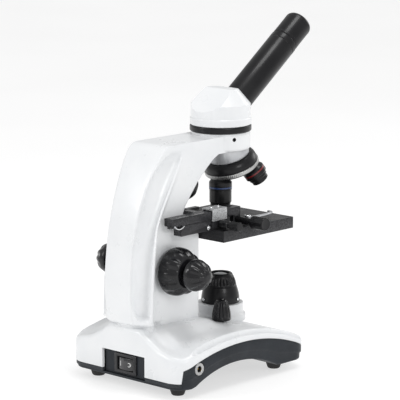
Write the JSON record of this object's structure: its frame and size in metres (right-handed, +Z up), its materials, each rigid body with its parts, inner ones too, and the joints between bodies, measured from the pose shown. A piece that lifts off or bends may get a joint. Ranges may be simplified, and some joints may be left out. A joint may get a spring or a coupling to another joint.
{
  "type": "monocular microscope",
  "caption": "School microscope with a curved grip arm, inclined eyepiece, turret of objectives, mechanical stage and coaxial focus knobs on a saddle base.",
  "frame": {"origin": "on the table under the middle of the overall box", "axes": "+Z up, the eyepiece looks to -Y, the arm stands at +Y, +X is the right side for somebody at the eyepiece"},
  "size_m": [0.15, 0.2654, 0.3372],
  "materials": {
    "white_paint": "gloss",
    "slate_plastic": "fine texture",
    "rubber": "matte",
    "screw_steel": "satin",
    "black_plastic": "satin",
    "switch_plastic": "gloss",
    "chrome": "polished",
    "contact_brass": "satin",
    "board_green": "satin",
    "board_white": "matte",
    "led": "clear",
    "lens_glass": "polished",
    "satin_aluminium": "satin cast",
    "black_enamel": "semi-gloss",
    "bright_steel": "ground",
    "band_colour": "gloss"
  },
  "bodies": {
    "stand": {"base_housing": "white_paint", "base_tray": "slate_plastic", "rear_panel": "slate_plastic", "rubber_feet": "rubber", "foot_screws": "screw_steel", "switch_bezel": "black_plastic", "dc_jack_socket": "black_plastic", "dc_jack_nut": "chrome", "dc_jack_pin": "contact_brass", "driver_board": "board_green", "led_board": "board_white", "led_emitter": "led", "illuminator_dome": "black_plastic", "collector_lens": "lens_glass", "dome_screws": "screw_steel", "potentiometer": "satin_aluminium", "arm": "white_paint", "arm_screws": "screw_steel", "sleeve_bushes": "contact_brass", "guide_rails": "screw_steel", "top_lamp_housing": "black_plastic", "top_lamp_lens": "lens_glass", "head_ring": "black_enamel", "head_clamp_screw": "black_enamel", "nosepiece_base": "satin_aluminium"},
    "head": {"head_body": "white_paint", "head_prism": "lens_glass", "eyepiece_tube": "black_enamel"},
    "eyepiece": {"eyepiece_body": "black_enamel", "eye_lens": "lens_glass", "field_lens": "lens_glass"},
    "turret": {"turret_disc": "black_enamel", "turret_ring": "chrome", "objective_40x": "black_enamel", "objective_10x": "black_enamel", "objective_4x": "black_enamel", "objective_bands": "band_colour", "objective_lenses": "lens_glass"},
    "coarse_drive": {"coarse_knob_left": "black_plastic", "coarse_knob_right": "black_plastic", "coarse_sleeve": "screw_steel"},
    "fine_drive": {"fine_shaft": "screw_steel", "fine_knob_left": "black_plastic", "fine_knob_right": "black_plastic"},
    "fine_carriage_body": {"fine_carriage": "bright_steel"},
    "stage": {"stage_bracket": "black_enamel", "stage_plate": "black_enamel", "condenser_lens": "lens_glass", "stage_guide": "black_enamel", "pinion_bracket": "satin_aluminium"},
    "diaphragm": {"diaphragm_disc": "black_enamel"},
    "y_slide": {"cross_slide": "black_enamel"},
    "x_slide": {"slide_holder": "black_enamel"},
    "finger": {"spring_finger": "screw_steel"},
    "y_drive": {"y_knob": "black_plastic"},
    "x_drive": {"x_knob": "black_plastic"},
    "brightness": {"brightness_knob": "black_plastic"},
    "rocker": {"rocker_cap": "switch_plastic"}
  },
  "joints": [
    {"name": "head_rotation", "type": "hinge", "parent": "stand", "child": "head", "pos_m": [0, -0.011, 0.24], "axis": [0, 0, 1], "continuous": true},
    {"name": "eyepiece_pull", "type": "slide", "parent": "head", "child": "eyepiece", "axis": [0, -0.8018, 0.5976], "range_m": [0, 0.03]},
    {"name": "turret_rotation", "type": "hinge", "parent": "stand", "child": "turret", "pos_m": [0, -0.011, 0.236], "axis": [0, -0.3584, -0.9336], "continuous": true},
    {"name": "coarse_focus", "type": "hinge", "parent": "stand", "child": "coarse_drive", "pos_m": [0, 0.0828, 0.1112], "axis": [1, 0, 0], "range_deg": [-42, 76]},
    {"name": "fine_focus", "type": "hinge", "parent": "stand", "child": "fine_drive", "pos_m": [0, 0.0828, 0.1112], "axis": [1, 0, 0], "range_deg": [-930, 930]},
    {"name": "fine_lift", "type": "slide", "parent": "stand", "child": "fine_carriage_body", "axis": [0, 0, 1], "range_m": [-0.001, 0.001]},
    {"name": "stage_lift", "type": "slide", "parent": "fine_carriage_body", "child": "stage", "axis": [0, 0, 1], "range_m": [-0.0095, 0.005]},
    {"name": "diaphragm_turn", "type": "hinge", "parent": "stage", "child": "diaphragm", "pos_m": [0.014, -0.011, 0.138], "axis": [0, 0, 1], "continuous": true},
    {"name": "y_knob_turn", "type": "hinge", "parent": "stage", "child": "y_drive", "pos_m": [-0.045, 0.033, 0.151], "axis": [1, 0, 0], "range_deg": [-95, 562]},
    {"name": "y_travel", "type": "slide", "parent": "stage", "child": "y_slide", "axis": [0, 1, 0], "range_m": [-0.026, 0.004]},
    {"name": "x_knob_turn", "type": "hinge", "parent": "y_slide", "child": "x_drive", "pos_m": [-0.05, 0.0065, 0.151], "axis": [1, 0, 0], "range_deg": [-830, 920]},
    {"name": "x_travel", "type": "slide", "parent": "y_slide", "child": "x_slide", "axis": [1, 0, 0], "range_m": [-0.018, 0.02]},
    {"name": "finger_swing", "type": "hinge", "parent": "x_slide", "child": "finger", "pos_m": [-0.042, -0.0038, 0.151], "axis": [0, 0, 1], "range_deg": [-30, 0], "stiffness_Nm_per_rad": 0.05, "springref_deg": 17.19},
    {"name": "brightness_turn", "type": "hinge", "parent": "stand", "child": "brightness", "pos_m": [-0.027, 0.0166, 0.06], "axis": [0, 0, 1], "range_deg": [-140, 140]},
    {"name": "rocker_tilt", "type": "hinge", "parent": "stand", "child": "rocker", "pos_m": [0, 0.116, 0.023], "axis": [0, 0, 1], "range_deg": [-8, 8]}
  ],
  "couplings": [
    {"joint": "coarse_focus", "follows": "stage_lift", "rad_per_m": -131.58},
    {"joint": "fine_focus", "follows": "fine_lift", "rad_per_m": -15708},
    {"joint": "y_knob_turn", "follows": "y_travel", "rad_per_m": -370.37},
    {"joint": "x_knob_turn", "follows": "x_travel", "rad_per_m": 785.55}
  ]
}
